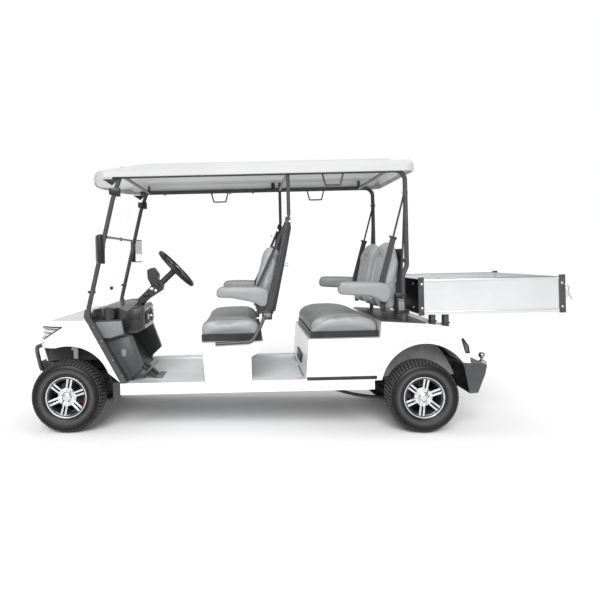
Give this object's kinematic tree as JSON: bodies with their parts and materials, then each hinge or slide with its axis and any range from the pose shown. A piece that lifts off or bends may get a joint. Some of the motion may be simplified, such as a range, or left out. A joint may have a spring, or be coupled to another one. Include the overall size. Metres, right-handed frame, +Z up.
{
  "type": "golf cart",
  "caption": "Electric golf cart with two bench seats, a moulded roof on tubes, a folding windscreen, alloy wheels and an aluminium cargo bed with a drop tailgate.",
  "frame": {"origin": "on the ground, at the middle of the cart's footprint", "axes": "+X forward, +Y to the driver's left, +Z up"},
  "size_m": [3.807, 1.484, 1.94],
  "materials": {
    "body_white": "gloss",
    "roof_white": "satin",
    "black_steel": "satin",
    "black_plastic": "matte",
    "floor_rubber": "matte",
    "grip_rubber": "matte",
    "lamp_clear": "gloss",
    "lamp_red": "gloss",
    "screen_clear": "clear",
    "seat_vinyl": "matte",
    "arm_vinyl": "matte",
    "belt_webbing": "matte",
    "bed_aluminium": "satin",
    "axle_steel": "satin",
    "tyre_rubber": "matte",
    "alloy": "machined"
  },
  "bodies": {
    "chassis": {"frame": "black_steel", "floor_pan": "floor_rubber", "side_sills": "body_white", "front_cowl": "body_white", "headlamps": "lamp_clear", "front_seat_pod": "body_white", "tail_lamps": "lamp_red", "rear_body": "body_white", "arch_liners": "black_plastic", "roof": "roof_white", "roof_frame": "black_steel", "mid_posts": "black_steel", "windscreen": "screen_clear", "front_struts": "black_steel", "mirrors": "black_plastic", "steering_column": "black_plastic", "dash": "black_plastic", "firewall": "black_plastic", "pedals": "black_steel", "battery_block": "black_plastic", "seat_trays": "black_plastic", "cushions": "seat_vinyl", "backrests": "seat_vinyl", "back_shells": "body_white", "armrests": "arm_vinyl", "belts": "belt_webbing", "belt_hardware": "black_plastic", "front_bumper": "black_steel", "rear_bumper": "black_plastic", "hitch": "black_steel", "bed_tray": "bed_aluminium", "bed_frame": "black_steel", "front_axle": "axle_steel", "rear_axle": "axle_steel", "springs": "axle_steel"},
    "wheel_front_left": {"tyre_front_left": "tyre_rubber", "rim_front_left": "alloy"},
    "wheel_front_right": {"tyre_front_right": "tyre_rubber", "rim_front_right": "alloy"},
    "wheel_rear_left": {"tyre_rear_left": "tyre_rubber", "rim_rear_left": "alloy"},
    "wheel_rear_right": {"tyre_rear_right": "tyre_rubber", "rim_rear_right": "alloy"},
    "left_knuckle": {"knuckle_left": "axle_steel"},
    "right_knuckle": {"knuckle_right": "axle_steel"},
    "track_rod": {"tie_rod": "axle_steel"},
    "hand_wheel": {"steering_wheel": "grip_rubber"},
    "gate": {"tailgate": "bed_aluminium"}
  },
  "joints": [
    {"name": "steer_left", "type": "hinge", "parent": "chassis", "child": "left_knuckle", "pos_m": [1.5975, 0.39, 0.248], "axis": [0, 0, 1], "range_deg": [-28, 28]},
    {"name": "steer_right", "type": "hinge", "parent": "chassis", "child": "right_knuckle", "pos_m": [1.5975, -0.39, 0.248], "axis": [0, 0, 1], "range_deg": [-28, 28]},
    {"name": "track_rod_slide", "type": "slide", "parent": "chassis", "child": "track_rod", "axis": [0, 1, 0], "range_m": [-0.058, 0.058]},
    {"name": "steering", "type": "hinge", "parent": "chassis", "child": "hand_wheel", "pos_m": [0.87732, 0.27, 1.12957], "axis": [-0.7157, 0, 0.6984], "range_deg": [-545, 545]},
    {"name": "roll_front_left", "type": "hinge", "parent": "left_knuckle", "child": "wheel_front_left", "pos_m": [1.5975, 0.497, 0.248], "axis": [0, 1, 0], "continuous": true},
    {"name": "roll_front_right", "type": "hinge", "parent": "right_knuckle", "child": "wheel_front_right", "pos_m": [1.5975, -0.497, 0.248], "axis": [0, 1, 0], "continuous": true},
    {"name": "roll_rear_left", "type": "hinge", "parent": "chassis", "child": "wheel_rear_left", "pos_m": [-0.8645, 0.497, 0.248], "axis": [0, 1, 0], "continuous": true},
    {"name": "roll_rear_right", "type": "hinge", "parent": "chassis", "child": "wheel_rear_right", "pos_m": [-0.8645, -0.497, 0.248], "axis": [0, 1, 0], "continuous": true},
    {"name": "tailgate_hinge", "type": "hinge", "parent": "chassis", "child": "gate", "pos_m": [-1.83607, 0, 0.83505], "axis": [0, -1, 0], "range_deg": [0, 170]}
  ],
  "couplings": [
    {"joint": "steer_right", "follows": "steer_left", "ratio": 1},
    {"joint": "track_rod_slide", "follows": "steer_left", "m_per_rad": -0.1165},
    {"joint": "steering", "follows": "steer_left", "ratio": 19.28}
  ]
}
